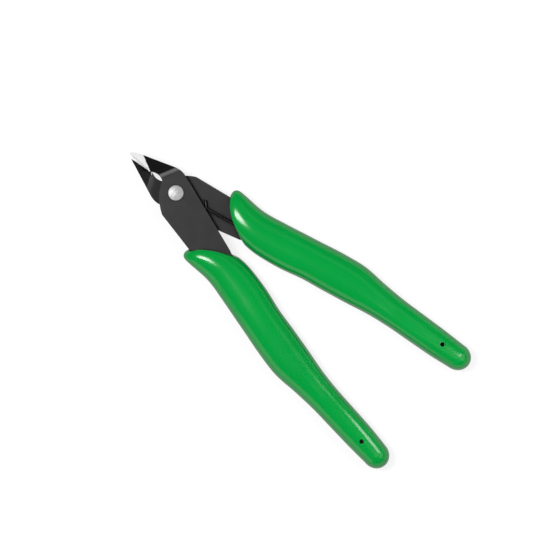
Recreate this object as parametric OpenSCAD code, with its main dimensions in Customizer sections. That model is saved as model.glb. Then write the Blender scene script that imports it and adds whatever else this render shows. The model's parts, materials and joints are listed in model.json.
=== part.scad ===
// Flush cut pliers: two stamped steel levers on one rivet, a wire return spring and two moulded grips.
// Units are millimetres. The tool lies on its grips: +Y points to the jaw tips, +Z along the pivot,
// and the jaws are shut. The origin is under the middle of the tool, on the surface it lies on.

/* [Overall] */
// Distance from the pivot to the jaw tips
jaw_reach = 20; // [18:0.5:26]
// Distance from the pivot to the end of the rear grip
grip_reach = 111; // [95:1:140]
// Distance between the centre lines of the two grips at their tails, jaws shut
tail_spread = 42.4; // [34:0.2:54]

/* [Levers] */
// Thickness of each stamped plate
plate_t = 2.5; // [2:0.1:3.2]
// Gap between the two plates, for grease
plate_gap = 0.1; // [0.06:0.01:0.2]
// Angle that the front jaw is folded up out of its plate
fold_angle = 21; // [18:0.5:23]
// How much more the rear jaw is folded, so that the two close on each other towards the tips
fold_extra = 3.4; // [2:0.1:3.5]
// Skew of the fold lines against the width of the tool
fold_skew = 25.5; // [20:0.5:30]
// Distance from the pivot to the front lever's fold line, on its back face
fold_reach = 7.5; // [7.2:0.1:8.4]
// How much nearer to the tips the rear lever folds, so that the front jaw passes over it
fold_step = 1.5; // [1.4:0.05:1.9]
// Inner radius of the fold
fold_radius = 6; // [2:0.5:7]
// Half width of the jaws at the shoulder
shoulder_w = 6.6; // [6:0.1:7.5]
// Width of the tang inside the grip
tang_w = 5.2; // [4:0.1:6]

/* [Cutting edges] */
// How far each shut edge passes over the middle line
edge_overlap = 0.08; // [0.02:0.01:0.2]
// Distance from the pivot to the inner end of the cutting edges
edge_start = 12.3; // [11.8:0.1:13]
// Angle of the ground nose bevel against the jaw face
bevel_angle = 29; // [20:1:30]
// Where the nose bevel starts, along the fold line from the pivot
bevel_start = 4.98; // [4.6:0.02:5.3]
// Angle of the ground land beside the rear lever's cutting edge
land_angle = 3; // [2:0.5:5]
// Half width of the lens-shaped relief behind the cutting edges
relief_w = 0.65; // [0.4:0.05:0.9]

/* [Rivet] */
// Diameter of the shank
shank_d = 3; // [2.6:0.1:3.6]
// Diameter of the formed heads
head_d = 5.1; // [4.4:0.1:6]
// Height of the heads at the middle
head_h = 0.85; // [0.6:0.05:1]
// Crown of the heads, out of their height
head_crown = 0.4; // [0.2:0.05:0.5]
// Radial clearance in the rear lever, which turns
running_fit = 0.04; // [0.02:0.01:0.08]
// Radial clearance in the front lever, which is held
held_fit = 0.01; // [0.01:0.01:0.03]

/* [Return spring] */
// Diameter of the wire
wire_d = 1; // [0.7:0.05:1.2]
// Bend radius of the wire at its middle
wire_bend_r = 1.3; // [1:0.1:2]
// How far behind the pivot the bend touches the front lever
wire_touch = 10.8; // [10:0.2:13]
// Length of the straight run from the bend into the grip
wire_run = 20; // [17:0.5:22]
// Length of the turned-up free end
wire_free = 2.0; // [1.5:0.1:3]
// Lean of the straight run against the tool's length
wire_lean = 12.4; // [11:0.2:14]
// Lean of the free end against the tool's length
wire_free_lean = 40.7; // [35:1:48]
// Clearance of the wire from the plates it lies against
wire_gap = 0.05; // [0.03:0.01:0.1]

/* [Grips] */
// Width of the grip across the mouth, which is cut on a slant
mouth_w = 17.3; // [16:0.1:18.5]
// Width of the belly
belly_w = 13.6; // [12:0.2:16]
// Width of the waist
waist_w = 8.4; // [7.6:0.1:10]
// Width of the tail
tail_w = 8.9; // [7.8:0.1:10]
// How much further the waist reaches on its outer side than on its inner side
outer_flare = 1.7; // [0:0.1:2.2]
// Thickness of the belly
belly_t = 10; // [9.4:0.1:11.5]
// Thickness at the mouth and the tail
end_t = 9.2; // [8.8:0.1:10]
// Depth of the flat that the tool lies on, below the middle of the plates
seat_depth = 4.4; // [4.2:0.05:4.5]
// How far the mouth bulges towards the jaws
mouth_bow = 1.5; // [0.8:0.1:2]
// How much further the mouth reaches on the face beside the other lever, and less on the outer face
mouth_rake = 0.45; // [0:0.05:0.8]
// How far the outer corner of the mouth stands forward as a finger guard
horn = 3.15; // [2:0.05:4]
// How far the finger guard is blunted across the mouth
horn_draw = 5; // [3.5:0.1:6]
// How far the finger guard is blunted along the grip
horn_reach = 4.2; // [3.4:0.1:5]
// Rounding of the mouth's inner corner
heel_r = 3; // [2:0.1:4]
// How much further down its tang the front grip sits
front_slip = 1.3; // [0:0.1:2]
// How far each face drops towards the mouth
lip_drop = 1.5; // [1:0.1:1.7]
// Distance from the mouth at which the faces start to drop
lip_reach = 8; // [6:0.2:10]
// Clearance between the tang or wire and the grip
grip_fit = 0.05; // [0.03:0.01:0.1]
// Length of the rounded end of the tail
tail_dome = 4.8; // [3.6:0.1:6]
// Diameter of the moulding pin hole near the tail
pin_hole_d = 1.5; // [1.2:0.1:2]
// Distance from the end of the grip to the pin hole
pin_hole_inset = 11.3; // [9:0.1:14]

/* [Hidden] */
$fn = 64;

// Steps in a rounded stretch, sides of the wire and of a grip, and sections of a grip, its lip and its tail
ARC_STEPS = 10;
WIRE_SIDES = 12;
GRIP_SIDES = 24;
GRIP_STEPS = 30;
LIP_STEPS = 9;
TAIL_STEPS = 6;
// Squareness of the grip sections: 1 is an ellipse and smaller is squarer
GRIP_SQUARE = 0.95;
// How much more the mouth bulges on its outer side, and the share of the grip that it reaches
BULGE_SKEW = 0.2;
BULGE_REACH = 0.3;
// How closely the finger guard keeps to the corner of the mouth
HORN_POWER = 2.9;
// Bluntness of a rounded corner of the mouth: 0.5 is a quarter of an ellipse and more is blunter
CORNER_ROUND = 0.5;
HORN_BLUNT = 0.75;
// Larger than the tool and than its jaws, for cutting
FAR = 200;
JAW_FAR = 40;

steel = [0.23, 0.23, 0.235];
bright_steel = [0.8, 0.8, 0.8];
wire_steel = [0.27, 0.27, 0.275];
grip_green = [0, 0.64, 0.26];

// Levels of the plate faces, from the middle of the stack
inner_z = plate_gap / 2;
outer_z = inner_z + plate_t;
middle_y = (jaw_reach - grip_reach - front_slip) / 2;

// Places on the rear lever: its tang is on the +X side and its jaw on the -X side
shoulder_y = 2.15;
mouth_in = [2.2, -25.6];
mouth_out = [11.2, -15.8];
tang_root = [10.2, -17.9];
neck_out = [8.5, -1.4];
throat_y = 6.07;
relief_end_y = 10.65;
pinch = [0.6, 11.5];
nose_l = 3.6;
nose_w = 2.2;
tip_w = 0.4;
jaw_foot = [0.3 - shoulder_w, shoulder_y + 3.6];
// How far the rounded stretches of its outline stand off their chords
back_bulge = 1;
shoulder_bulge = 0.22;
nose_bulge = 0.16;

// Fold of the rear lever, whose line on its back face is set from its front face
rear_angle = fold_angle + fold_extra;
rear_fold = fold_reach + fold_step + plate_t * tan(rear_angle / 2);

// The land beside the rear cutting edge starts on this line, given along and across the fold
land_from = [4.19, 10.52];
land_slant = 17.2;

// The grip's centre line runs from the mouth to the tail
mouth_mid = [7.95, -20.2];
tail_mid = [tail_spread / 2, tail_dome - grip_reach];
tail_slant = 10;
grip_length = norm(tail_mid - mouth_mid);

// Grip sections: share of the length, share of the sideways run, width, slant, thickness
// and share of the flare
SHARE = 0;
SIDE = 1;
WIDTH = 2;
SLANT = 3;
THICK = 4;
FLARE = 5;
grip_sections = [
    [0, 0.03, mouth_w, 45, end_t, 0],
    [0.06, 0.035, mouth_w - 0.1, 43.3, end_t, 0],
    [0.13, 0.054, mouth_w - 2.2, 38, lerp(end_t, belly_t, 0.2), 0.1],
    [0.21, 0.15, mouth_w - 3.1, 33, lerp(end_t, belly_t, 0.5), 0.4],
    [0.32, 0.35, belly_w - 0.2, 20, belly_t, 0.3],
    [0.43, 0.52, belly_w, 11, belly_t, 0.3],
    [0.52, 0.64, belly_w - 0.4, 10, belly_t, 0.3],
    [0.62, 0.70, lerp(belly_w, waist_w, 0.58), 10, lerp(belly_t, end_t, 0.4), 0.6],
    [0.71, 0.74, waist_w + 0.5, 9, end_t, 0.9],
    [0.81, 0.80, waist_w, 9, end_t, 1],
    [0.91, 0.90, tail_w, 9, end_t, 0.5],
    [1, 1, tail_w, tail_slant, end_t, 0]
];

function lerp(a, b, t) = a + (b - a) * t;
function mirror_x(p) = [-p.x, p.y];
function unit(a) = [cos(a), sin(a)];
function signed_power(v, e) = sign(v) * pow(abs(v), e);

// Points of the arc from a to c, without a itself, that stands off its chord on the right
function arc_bulging(a, c, bulge) =
    let (
        half = norm(c - a) / 2,
        right = [c.y - a.y, a.x - c.x] / (2 * half),
        r = (half ^ 2 + bulge ^ 2) / (2 * bulge),
        o = (a + c) / 2 + (bulge - r) * right,
        start = atan2(a.y - o.y, a.x - o.x),
        turn = 4 * atan(bulge / half)
    )
    [for (i = [1:ARC_STEPS]) o + abs(r) * unit(start + turn * i / ARC_STEPS)];

// Smooth curve through one column of a table whose first column runs from 0 to 1
function slope(table, column, i) =
    let (
        a = max(i - 1, 0),
        b = min(i + 1, len(table) - 1)
    )
    (table[b][column] - table[a][column]) / (table[b][SHARE] - table[a][SHARE]);

function curve(table, column, share) =
    let (
        i = max([for (k = [0:len(table) - 2]) table[k][SHARE] <= share ? k : 0]),
        span = table[i + 1][SHARE] - table[i][SHARE],
        t = (share - table[i][SHARE]) / span,
        p = table[i][column],
        q = table[i + 1][column],
        m = slope(table, column, i) * span,
        n = slope(table, column, i + 1) * span
    )
    (2 * t ^ 3 - 3 * t ^ 2 + 1) * p + (t ^ 3 - 2 * t ^ 2 + t) * m
    + (3 * t ^ 2 - 2 * t ^ 3) * q + (t ^ 3 - t ^ 2) * n;

function grip_middle(share) = [
    lerp(mouth_mid.x, tail_mid.x, curve(grip_sections, SIDE, share)),
    lerp(mouth_mid.y, tail_mid.y, share)
];
function grip_across(share) = unit(curve(grip_sections, SLANT, share));

// Edges of the tang, which follows the grip's centre line
tang_shares = [0.2, 0.42, 0.6, 0.78];
tang_end = 0.95;
function tang_edge(side, grow) = [
    for (s = concat(tang_shares, [tang_end + grow / grip_length]))
        grip_middle(s) + side * (tang_w / 2 + grow) * grip_across(s)
];

function reversed(list) = [for (i = [len(list) - 1:-1:0]) list[i]];

// Outline of the rear lever seen along the pivot, and of the cavity that holds its tang
function lever_outline(grow = 0) =
    let (
        tip_in = [edge_overlap, jaw_reach],
        tip_out = [-tip_w, jaw_reach],
        nose = [-nose_w, jaw_reach - nose_l],
        shoulder = [-shoulder_w, shoulder_y],
        throat = [0, throat_y],
        relief_end = [0, relief_end_y],
        grown = [grow, 0]
    )
    concat(
        [tip_in, tip_out],
        arc_bulging(tip_out, nose, nose_bulge),
        [jaw_foot],
        arc_bulging(jaw_foot, shoulder, shoulder_bulge),
        [mouth_in - grown],
        tang_edge(-1, grow),
        reversed(tang_edge(1, grow)),
        [tang_root + grown, mouth_out + grown, neck_out + grown],
        arc_bulging(neck_out + grown, throat, back_bulge),
        arc_bulging(throat, relief_end, -relief_w),
        [pinch, [edge_overlap, edge_start]]
    );

// Side view of a plate with its jaw folded up, along the direction across the fold line
function fold_profile(fold_at, bottom, angle) =
    let (
        tangent = tan(angle / 2) * (fold_radius + plate_t),
        centre = [fold_at - tangent, bottom + plate_t + fold_radius],
        bend = [for (i = [0:ARC_STEPS]) -90 + angle * i / ARC_STEPS],
        low = [for (a = bend) centre + (fold_radius + plate_t) * unit(a)],
        high = [for (a = bend) centre + fold_radius * unit(a)],
        reach = JAW_FAR * unit(angle)
    )
    concat(
        [[-FAR, bottom]], low,
        [low[ARC_STEPS] + reach, high[ARC_STEPS] + reach],
        reversed(high), [[-FAR, bottom + plate_t]]
    );

// Plate of the whole lever before it is cut to its outline
module folded_sheet(fold_at, bottom, angle) {
    rotate([0, 0, fold_skew])
        rotate([90, 0, 90])
            translate([0, 0, -FAR])
                linear_extrude(2 * FAR)
                    polygon(fold_profile(fold_at, bottom, angle));
}

// Places its children on the jaw: x along the fold line to the other jaw, y up the jaw, z off its back face
module on_jaw(fold_at, bottom, angle) {
    rotate([0, 0, fold_skew])
        translate([0, fold_at, bottom])
            rotate([angle, 0, 0])
                children();
}

// Wedge above a face that holds the y axis and drops by an angle on the +X side
module drop_cut(angle) {
    drop = JAW_FAR * tan(angle);
    translate([0, JAW_FAR, 0])
        rotate([90, 0, 0])
            linear_extrude(JAW_FAR)
                polygon([[-JAW_FAR, drop], [JAW_FAR, -drop], [JAW_FAR, JAW_FAR]]);
}

module lever_prism() {
    linear_extrude(FAR, center = true)
        polygon(lever_outline());
}

module pivot_bore(fit) {
    cylinder(d = shank_d + 2 * fit, h = FAR, center = true);
}

// Sets the shut tool on its seat, with the origin under its middle
module in_place() {
    translate([0, -middle_y, seat_depth])
        children();
}

module front_lever() {
    color(steel)
        in_place()
            mirror([1, 0, 0])
                difference() {
                    intersection() {
                        lever_prism();
                        folded_sheet(fold_reach, inner_z, fold_angle);
                    }
                    on_jaw(fold_reach, inner_z, fold_angle)
                        translate([bevel_start, 0, plate_t])
                            drop_cut(bevel_angle);
                    pivot_bore(held_fit);
                }
}

module rear_lever() {
    color(steel)
        in_place()
            difference() {
                intersection() {
                    lever_prism();
                    folded_sheet(rear_fold, -outer_z, rear_angle);
                }
                on_jaw(rear_fold, -outer_z, rear_angle) {
                    translate([bevel_start, 0, 0])
                        mirror([0, 0, 1])
                            drop_cut(bevel_angle);
                    translate([land_from.x, land_from.y - rear_fold, plate_t])
                        rotate([0, 0, -land_slant])
                            drop_cut(land_angle);
                }
                pivot_bore(running_fit);
            }
}

// A formed rivet head standing on the plane z = 0
module rivet_head() {
    crown_r = ((head_d / 2) ^ 2 + head_crown ^ 2) / (2 * head_crown);
    intersection() {
        cylinder(d = head_d, h = head_h);
        translate([0, 0, head_h - crown_r])
            sphere(r = crown_r, $fn = 96);
    }
}

module pivot_rivet() {
    rear_face = -outer_z - plate_gap / 2;
    color(bright_steel)
        in_place()
            union() {
                translate([0, 0, rear_face])
                    cylinder(d = shank_d, h = outer_z - rear_face);
                translate([0, 0, outer_z])
                    rivet_head();
                translate([0, 0, rear_face])
                    mirror([0, 0, 1])
                        rivet_head();
            }
}

// The front lever's inner edge, which the spring presses on, and its direction
edge_top = [shoulder_w, shoulder_y];
edge_bottom = mirror_x(mouth_in);
edge_lean = atan2(edge_top.x - edge_bottom.x, edge_top.y - edge_bottom.y);
edge_touch = lerp(edge_top, edge_bottom, (edge_top.y + wire_touch) / (edge_top.y - edge_bottom.y));

// The wire lies on the rear lever's front face
wire_z = wire_d / 2 + wire_gap - inner_z;
bend_middle = edge_touch + (wire_bend_r + wire_d / 2 + wire_gap) * unit(-edge_lean);

// Middle line of the wire, from its root in the grip round the bend to its free end
function wire_bend(i) =
    bend_middle + wire_bend_r * unit(180 + wire_lean - (wire_lean + wire_free_lean) * i / ARC_STEPS);
wire_path = concat(
    [wire_bend(0) + wire_run * unit(wire_lean - 90)],
    [for (i = [0:ARC_STEPS]) wire_bend(i)],
    [wire_bend(ARC_STEPS) + wire_free * unit(90 - wire_free_lean)]
);

// Direction square to a flat path at one of its points
function path_normal(path, i) =
    let (d = path[min(i + 1, len(path) - 1)] - path[max(i - 1, 0)])
    [-d.y, d.x] / norm(d);

// Faces of a closed skin over rings of points, with one point at each end that come before the rings
function skin_faces(rings, sides) =
    let (at = function (ring, k) 2 + ring * sides + k % sides)
    concat(
        [for (k = [0:sides - 1]) [0, at(0, k), at(0, k + 1)]],
        [
            for (r = [0:rings - 2])
                for (k = [0:sides - 1])
                    each [
                        [at(r, k), at(r + 1, k), at(r + 1, k + 1)],
                        [at(r, k), at(r + 1, k + 1), at(r, k + 1)]
                    ]
        ],
        [for (k = [0:sides - 1]) [1, at(rings - 1, k + 1), at(rings - 1, k)]]
    );

// Round wire along a flat path at one level
module wire(path, d, level) {
    rings = [
        for (i = [0:len(path) - 1])
            for (k = [0:WIRE_SIDES - 1])
                let (p = path[i] + d / 2 * cos(360 * k / WIRE_SIDES) * path_normal(path, i))
                [p.x, p.y, level - d / 2 * sin(360 * k / WIRE_SIDES)]
    ];
    ends = [for (p = [path[0], path[len(path) - 1]]) [p.x, p.y, level]];
    polyhedron(concat(ends, rings), skin_faces(len(path), WIRE_SIDES));
}

module return_spring() {
    color(wire_steel)
        in_place()
            wire(wire_path, wire_d, wire_z);
}

// How far a section of the grip is drawn in by a rounded edge of the mouth: its depth, reach and bluntness
function drawn_in(share, depth, reach, bluntness = CORNER_ROUND) =
    let (left = max(0, 1 - share * grip_length / reach))
    depth * (1 - (1 - left ^ 2) ^ bluntness);

// How much of the mouth's shape is left at a section
function mouth_fade(share) = max(0, 1 - share / BULGE_REACH) ^ 2;

// One closed section of the grip: its middle, direction across, half sizes, flare
// and share of the mouth's shape
function section(middle, across, half_w, half_t, flare, fade) = [
    for (k = [0:GRIP_SIDES - 1])
        let (
            a = 360 * k / GRIP_SIDES,
            u = signed_power(cos(a), GRIP_SQUARE),
            v = signed_power(sin(a), GRIP_SQUARE),
            bow = mouth_bow * (1 - u ^ 2) * (1 + BULGE_SKEW * u) + mouth_rake * v,
            guard = horn * ((1 + u) / 2) ^ HORN_POWER,
            reach = u * (u > 0 ? half_w + flare : half_w),
            flat = middle + reach * across + fade * (bow * [-across.y, across.x] + [0, guard])
        )
        [flat.x, flat.y, half_t * v]
];

function grip_section(share) =
    let (
        across = grip_across(share),
        outer = drawn_in(share, horn_draw, horn_reach, HORN_BLUNT),
        inner = drawn_in(share, heel_r, heel_r)
    )
    section(
        grip_middle(share) + (inner - outer) / 2 * across,
        across,
        (curve(grip_sections, WIDTH, share) - inner - outer) / 2,
        curve(grip_sections, THICK, share) / 2 - drawn_in(share, lip_drop, lip_reach),
        outer_flare * curve(grip_sections, FLARE, share),
        mouth_fade(share)
    );

function tail_section(a) =
    section(
        tail_mid + tail_dome * sin(a) * unit(tail_slant - 90),
        unit(tail_slant),
        tail_w / 2 * cos(a),
        end_t / 2 * cos(a),
        0,
        0
    );

// Solid skin of the rear grip before its tang is let in
module grip_body() {
    lip_share = max(horn_reach, heel_r, lip_reach) / grip_length;
    shares = concat(
        [for (i = [0:LIP_STEPS]) lip_share * (1 - cos(90 * i / LIP_STEPS))],
        [for (i = [1:GRIP_STEPS]) lerp(lip_share, 1, i / GRIP_STEPS)]
    );
    rings = concat(
        [for (s = shares) grip_section(s)],
        [for (i = [1:TAIL_STEPS - 1]) tail_section(90 * i / TAIL_STEPS)]
    );
    mouth_point = grip_middle(0) + mouth_bow * [-grip_across(0).y, grip_across(0).x];
    tail_point = tail_mid + tail_dome * unit(tail_slant - 90);
    ends = [[mouth_point.x, mouth_point.y, 0], [tail_point.x, tail_point.y, 0]];
    polyhedron(concat(ends, [for (r = rings) each r]), skin_faces(len(rings), GRIP_SIDES));
}

// The pin hole is a little outside the grip's centre line
PIN_ASIDE = 0.9;
pin_share = 1 - (pin_hole_inset - tail_dome) / (mouth_mid.y - tail_mid.y);

// Grip on the rear lever's tang, slipped down it
module grip(slip) {
    pin_middle = grip_middle(pin_share) + PIN_ASIDE * grip_across(pin_share);
    difference() {
        translate([0, -slip, 0])
            difference() {
                grip_body();
                translate([pin_middle.x, pin_middle.y, 0])
                    cylinder(d = pin_hole_d, h = FAR, center = true);
            }
        translate([0, 0, -outer_z - grip_fit])
            linear_extrude(plate_t + 2 * grip_fit)
                polygon(lever_outline(grip_fit));
    }
}

// All that would reach below the surface the tool lies on
module below_seat() {
    translate([-FAR / 2, -FAR, -FAR - seat_depth])
        cube(FAR);
}

// Room for the root of the spring
module wire_channel() {
    translate([wire_bend(0).x, wire_bend(0).y, wire_z])
        rotate([90, 0, wire_lean])
            cylinder(d = wire_d + 2 * grip_fit, h = wire_run + grip_fit);
}

module front_grip() {
    color(grip_green)
        in_place()
            difference() {
                rotate([0, 180, 0])
                    grip(front_slip);
                below_seat();
            }
}

module rear_grip() {
    color(grip_green)
        in_place()
            difference() {
                grip(0);
                wire_channel();
                below_seat();
            }
}

front_lever();
rear_lever();
pivot_rivet();
return_spring();
front_grip();
rear_grip();
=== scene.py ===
"""Looks of a pair of flush cut pliers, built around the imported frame.

Lengths in the classes below are millimetres from the pivot, with the jaws shut: x runs across the
tool, y towards the jaw tips and z along the pivot, out of the front lever. Angles are degrees.
Meshes and nodes are in metres, and so are the lamps, the floor and the camera's height.
"""

import json
import logging
import math
from collections.abc import Iterable, Sequence
from dataclasses import dataclass, field
from enum import Enum
from typing import Any, ClassVar, NamedTuple

import bmesh
import bpy
from mathutils import Matrix, Vector


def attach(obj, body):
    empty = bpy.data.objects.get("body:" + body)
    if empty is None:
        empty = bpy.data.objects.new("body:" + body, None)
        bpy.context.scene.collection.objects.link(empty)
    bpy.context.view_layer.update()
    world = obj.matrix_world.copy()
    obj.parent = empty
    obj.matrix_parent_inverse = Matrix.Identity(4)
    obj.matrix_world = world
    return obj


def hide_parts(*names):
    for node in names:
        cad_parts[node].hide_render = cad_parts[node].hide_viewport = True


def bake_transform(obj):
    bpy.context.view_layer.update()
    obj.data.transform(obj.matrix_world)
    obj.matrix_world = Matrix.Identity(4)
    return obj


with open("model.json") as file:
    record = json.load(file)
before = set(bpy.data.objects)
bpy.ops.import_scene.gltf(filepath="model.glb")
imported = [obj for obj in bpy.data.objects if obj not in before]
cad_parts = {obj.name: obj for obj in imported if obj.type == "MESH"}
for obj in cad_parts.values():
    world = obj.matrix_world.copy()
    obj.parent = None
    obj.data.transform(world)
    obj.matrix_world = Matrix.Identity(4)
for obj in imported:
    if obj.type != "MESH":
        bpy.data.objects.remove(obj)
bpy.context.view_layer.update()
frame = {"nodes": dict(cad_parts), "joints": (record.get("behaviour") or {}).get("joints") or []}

LOG = logging.getLogger("pliers")
MM = 0.001
PIVOT = Vector(frame["joints"][0]["pos_m"])
EDGE_LAYER = "edge"
IMAGE_SIDE = 550
PIXELS_TO_MM = 3.0
WELD_REACH = 0.0005
FLAT_ANGLE = 0.3

Pair = tuple[float, float]
Colour = tuple[float, float, float]
Point = tuple[float, float, float]
Span = tuple[float, float, float, float]
Form = bmesh.types.BMesh
Piece = bpy.types.Object
Material = bpy.types.Material
Socket = bpy.types.NodeSocket

BLACK: Colour = (0.0, 0.0, 0.0)


def place(x: float, y: float, z: float) -> Vector:
    """Returns the row-frame point, in metres, of a point in millimetres from the pivot."""
    return PIVOT + Vector((x, y, z)) * MM


def lerp(a: float, b: float, t: float) -> float:
    """Returns the value a share t of the way from a to b."""
    return a + (b - a) * t


def signed_power(value: float, power: float) -> float:
    """Returns the power of a value's size, with the value's sign."""
    return math.copysign(abs(value) ** power, value)


def unit(degrees: float) -> Vector:
    """Returns the flat unit vector at an angle from the x axis."""
    return Vector((math.cos(math.radians(degrees)), math.sin(math.radians(degrees))))


def circle(sides: int) -> list[Vector]:
    """Returns flat unit vectors, evenly round a circle."""
    return [unit(360 * k / sides) for k in range(sides)]


def grey(tone: float) -> Colour:
    """Returns a neutral colour."""
    return (tone, tone, tone)


class Side(Enum):
    """The two halves of the tool, named as they lie along the pivot."""

    FRONT = "front"
    REAR = "rear"

    @property
    def body(self) -> str:
        """Name of the half's body."""
        return f"{self.value}_half"

    @property
    def lever(self) -> str:
        """Name of the half's lever node."""
        return f"{self.value}_lever"

    @property
    def grip(self) -> str:
        """Name of the half's grip node."""
        return f"{self.value}_grip"

    @property
    def mirror(self) -> int:
        """-1 where the half's outline is mirrored in x, else 1."""
        return -1 if self is Side.FRONT else 1


class Slot(Enum):
    """The record's material slots."""

    BLACKENED = "blackened_steel"
    RIVET = "rivet_steel"
    SPRING = "spring_steel"
    VINYL = "green_grip"


class Kind(Enum):
    """Kinds of socket on a node group."""

    FLOAT = "NodeSocketFloat"
    VECTOR = "NodeSocketVector"


class Noise(NamedTuple):
    """A noise's spots to the metre, its octaves, and how strong the finer ones are."""

    scale: float
    detail: float
    rough: float


class Wiring:
    """Adds and links the nodes of one shader tree."""

    MIX_COLOURS: ClassVar[tuple[int, int]] = (6, 7)
    MIX_RESULT: ClassVar[int] = 2

    def __init__(self, tree: bpy.types.NodeTree) -> None:
        """Starts on a material's, world's or group's node tree."""
        self.tree = tree

    def feed(self, socket: Socket, value: Any) -> None:
        """Links a socket to another socket, or sets its value.

        Args:
            socket: the input socket.
            value: an output socket, or a plain value.
        """
        if isinstance(value, Socket):
            self.tree.links.new(value, socket)
        else:
            socket.default_value = value

    def add(
        self, kind: str, inputs: dict[str | int, Any] | None = None, **settings: Any
    ) -> bpy.types.Node:
        """Adds one node.

        Args:
            kind: the node's type name.
            inputs: values or sockets for the node's inputs.
            settings: values for the node's properties.

        Returns:
            The new node.
        """
        node = self.tree.nodes.new(kind)
        for name, value in settings.items():
            setattr(node, name, value)
        for key, value in (inputs or {}).items():
            self.feed(node.inputs[key], value)
        return node

    def math(self, operation: str, *values: Any) -> Socket:
        """Adds a Math node on values or sockets, and returns its result."""
        return self.add("ShaderNodeMath", dict(enumerate(values)), operation=operation).outputs[0]

    def vector(self, operation: str, a: Any, b: Any) -> Any:
        """Adds a Vector Math node on two vectors or sockets, and returns its outputs."""
        return self.add("ShaderNodeVectorMath", {0: a, 1: b}, operation=operation).outputs

    def span(
        self, value: Any, low: Any, high: Any, to_low: float = 0.0, to_high: float = 1.0
    ) -> Socket:
        """Maps a value smoothly from one span to another, and keeps it inside.

        Args:
            value: the value to map.
            low: the start of its span.
            high: the end of its span.
            to_low: what the start becomes.
            to_high: what the end becomes.

        Returns:
            The result's socket.
        """
        inputs = {"Value": value, "From Min": low, "From Max": high}
        inputs |= {"To Min": to_low, "To Max": to_high}
        node = self.add("ShaderNodeMapRange", inputs, interpolation_type="SMOOTHSTEP")
        return node.outputs["Result"]

    def mix(self, share: Any, a: Any, b: Any) -> Socket:
        """Mixes two colours.

        Args:
            share: how much of the second colour there is.
            a: the first colour, three numbers or a socket.
            b: the second colour, three numbers or a socket.

        Returns:
            The result's socket.
        """
        node = self.add("ShaderNodeMix", {"Factor": share}, data_type="RGBA")
        for key, value in zip(self.MIX_COLOURS, (a, b), strict=True):
            self.feed(node.inputs[key], value if isinstance(value, Socket) else (*value, 1.0))
        return node.outputs[self.MIX_RESULT]

    def noise(self, at: Socket, scale: Any, detail: float, rough: float) -> Socket:
        """Adds a noise on coordinates in metres, and returns its value, about 0.5 in the middle."""
        inputs = {"Vector": at, "Scale": scale, "Detail": detail, "Roughness": rough}
        return self.add("ShaderNodeTexNoise", inputs).outputs["Fac"]

    def group(self, effect: "Effect", **inputs: Any) -> Any:
        """Places a shared effect, with its named inputs, and returns its outputs."""
        named = {name.replace("_", " ").capitalize(): value for name, value in inputs.items()}
        return self.add("ShaderNodeGroup", named, node_tree=effect.tree()).outputs


class Effect:
    """A surface effect that several finishes share, held in one node group."""

    name: ClassVar[str] = ""
    inputs: ClassVar[dict[str, Kind]] = {}
    outputs: ClassVar[tuple[str, ...]] = ()

    def tree(self) -> bpy.types.NodeTree:
        """Builds the effect's node group, the first time it is asked for.

        Returns:
            The node group.
        """
        found = bpy.data.node_groups.get(self.name)
        if found:
            return found
        tree = bpy.data.node_groups.new(self.name, "ShaderNodeTree")
        masks = dict.fromkeys(self.outputs, Kind.FLOAT)
        for ends, way in ((self.inputs, "INPUT"), (masks, "OUTPUT")):
            for name, kind in ends.items():
                tree.interface.new_socket(name=name, in_out=way, socket_type=kind.value)
        wiring = Wiring(tree)
        given = wiring.add("NodeGroupInput").outputs
        result = wiring.add("NodeGroupOutput")
        for name, socket in zip(self.outputs, self.wire(wiring, given), strict=True):
            wiring.feed(result.inputs[name], socket)
        return tree

    def wire(self, wiring: Wiring, given: Any) -> Sequence[Socket]:
        """Builds the group's inside, and returns a socket for each output, in order."""
        raise NotImplementedError


class Grain(Effect):
    """Fine all-over grain, with a slow mottle, as blasted steel or moulded vinyl has."""

    name = "fine_grain"
    inputs = {"Place": Kind.VECTOR, "Grains": Kind.FLOAT, "Mottles": Kind.FLOAT}
    outputs = ("Height", "Mottle")
    fine: ClassVar[Pair] = (3.0, 0.6)
    slow: ClassVar[Pair] = (2.0, 0.5)

    def wire(self, wiring: Wiring, given: Any) -> Sequence[Socket]:
        """Builds two noises, with their spots to the metre from the inputs."""
        height = wiring.noise(given["Place"], given["Grains"], *self.fine)
        return height, wiring.noise(given["Place"], given["Mottles"], *self.slow)


class Handling(Effect):
    """Smudges and hair scratches that use leaves on a smooth surface."""

    name = "handling_marks"
    inputs = {"Place": Kind.VECTOR}
    outputs = ("Smudge", "Scratch")
    smudges: ClassVar[Noise] = Noise(160.0, 3.0, 0.6)
    smudged: ClassVar[Pair] = (0.35, 0.7)
    scratches: ClassVar[Noise] = Noise(900.0, 4.0, 0.7)
    scratched: ClassVar[Pair] = (0.62, 0.74)
    stretch: ClassVar[Point] = (1.0, 0.06, 1.0)

    def wire(self, wiring: Wiring, given: Any) -> Sequence[Socket]:
        """Builds a slow noise, and a noise drawn out along the tool.

        Args:
            wiring: the group's wiring.
            given: the group's input sockets, by name.

        Returns:
            The smudges' mask and the scratches'.
        """
        smudge = wiring.span(wiring.noise(given["Place"], *self.smudges), *self.smudged)
        drawn = wiring.vector("MULTIPLY", given["Place"], self.stretch)["Vector"]
        return smudge, wiring.span(wiring.noise(drawn, *self.scratches), *self.scratched)


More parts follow.
